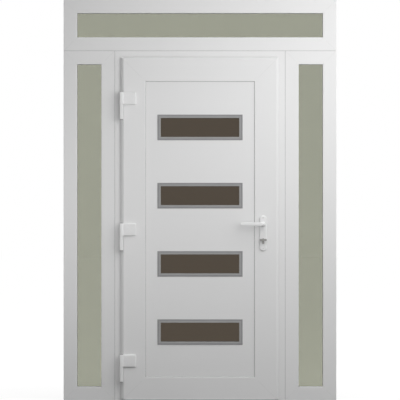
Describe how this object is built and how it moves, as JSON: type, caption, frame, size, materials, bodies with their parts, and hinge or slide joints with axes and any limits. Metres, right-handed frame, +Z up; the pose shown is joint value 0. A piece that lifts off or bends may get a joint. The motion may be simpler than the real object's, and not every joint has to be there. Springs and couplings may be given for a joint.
{
  "type": "door with sidelights",
  "caption": "White plastic entrance door with slot windows in a panel leaf, between fixed glazed sidelights under a fixed glazed top light, with lever handle and surface hinges.",
  "frame": {"origin": "on the floor under the middle of the threshold, at half the frame's depth", "axes": "+Z up, +X to the lock side as seen from the room, +Y to the outside"},
  "size_m": [1.6, 0.205, 2.35],
  "materials": {
    "white_profile": "smooth satin white plastic profile",
    "white_panel": "smooth satin white panel skin",
    "clear_glass": "clear float glass",
    "dark_glass": "dark reflective tinted glass",
    "steel_trim": "brushed stainless steel",
    "white_hardware": "white powder coat",
    "threshold_metal": "plain anodised aluminium",
    "seal_rubber": "grey rubber seal",
    "lock_steel": "zinc plated steel",
    "cylinder_nickel": "nickel plated brass",
    "spacer_bar": "mill finish aluminium"
  },
  "bodies": {
    "frame": {"left_sidelight_left_stile": "white_profile", "left_sidelight_top_rail": "white_profile", "left_sidelight_right_stile": "white_profile", "left_sidelight_bottom_rail": "white_profile", "left_sidelight_beads": "white_profile", "left_sidelight_glass": "clear_glass", "right_sidelight_left_stile": "white_profile", "right_sidelight_top_rail": "white_profile", "right_sidelight_right_stile": "white_profile", "right_sidelight_bottom_rail": "white_profile", "right_sidelight_beads": "white_profile", "right_sidelight_glass": "clear_glass", "transom_left_stile": "white_profile", "transom_top_rail": "white_profile", "transom_right_stile": "white_profile", "transom_bottom_rail": "white_profile", "transom_beads": "white_profile", "transom_glass": "clear_glass", "glazing_spacers": "spacer_bar", "door_frame_left_jamb": "white_profile", "door_frame_head": "white_profile", "door_frame_right_jamb": "white_profile", "strike_plate": "lock_steel", "threshold": "threshold_metal", "frame_seal": "seal_rubber", "hinge_knuckles": "white_hardware"},
    "leaf": {"sash_hinge_stile": "white_profile", "sash_top_rail": "white_profile", "sash_lock_stile": "white_profile", "sash_bottom_rail": "white_profile", "lock_faceplate": "lock_steel", "leaf_seal": "seal_rubber", "panel_beads": "white_profile", "door_panel": "white_panel", "slot_trims_inside": "steel_trim", "slot_trims_outside": "steel_trim", "slot_glass": "dark_glass", "hinge_flags": "white_hardware", "handle_plate_inside": "white_hardware", "handle_plate_outside": "white_hardware", "key_cylinder": "cylinder_nickel"},
    "lever": {"lever_inside": "white_hardware", "lever_outside": "white_hardware", "spindle": "lock_steel"},
    "thumb_turn": {"thumb_turn": "cylinder_nickel"}
  },
  "joints": [
    {"name": "door_swing", "type": "hinge", "parent": "frame", "child": "leaf", "pos_m": [-0.46, -0.067, 1], "axis": [0, 0, -1], "range_deg": [0, 110]},
    {"name": "lever_turn", "type": "hinge", "parent": "leaf", "child": "lever", "pos_m": [0.37, -0.06, 1.033], "axis": [0, -1, 0], "range_deg": [0, 40], "stiffness_Nm_per_rad": 1.5, "springref_deg": -28.65},
    {"name": "thumb_turn_spin", "type": "hinge", "parent": "leaf", "child": "thumb_turn", "pos_m": [0.37, -0.07, 0.941], "axis": [0, -1, 0], "range_deg": [0, 360]}
  ]
}
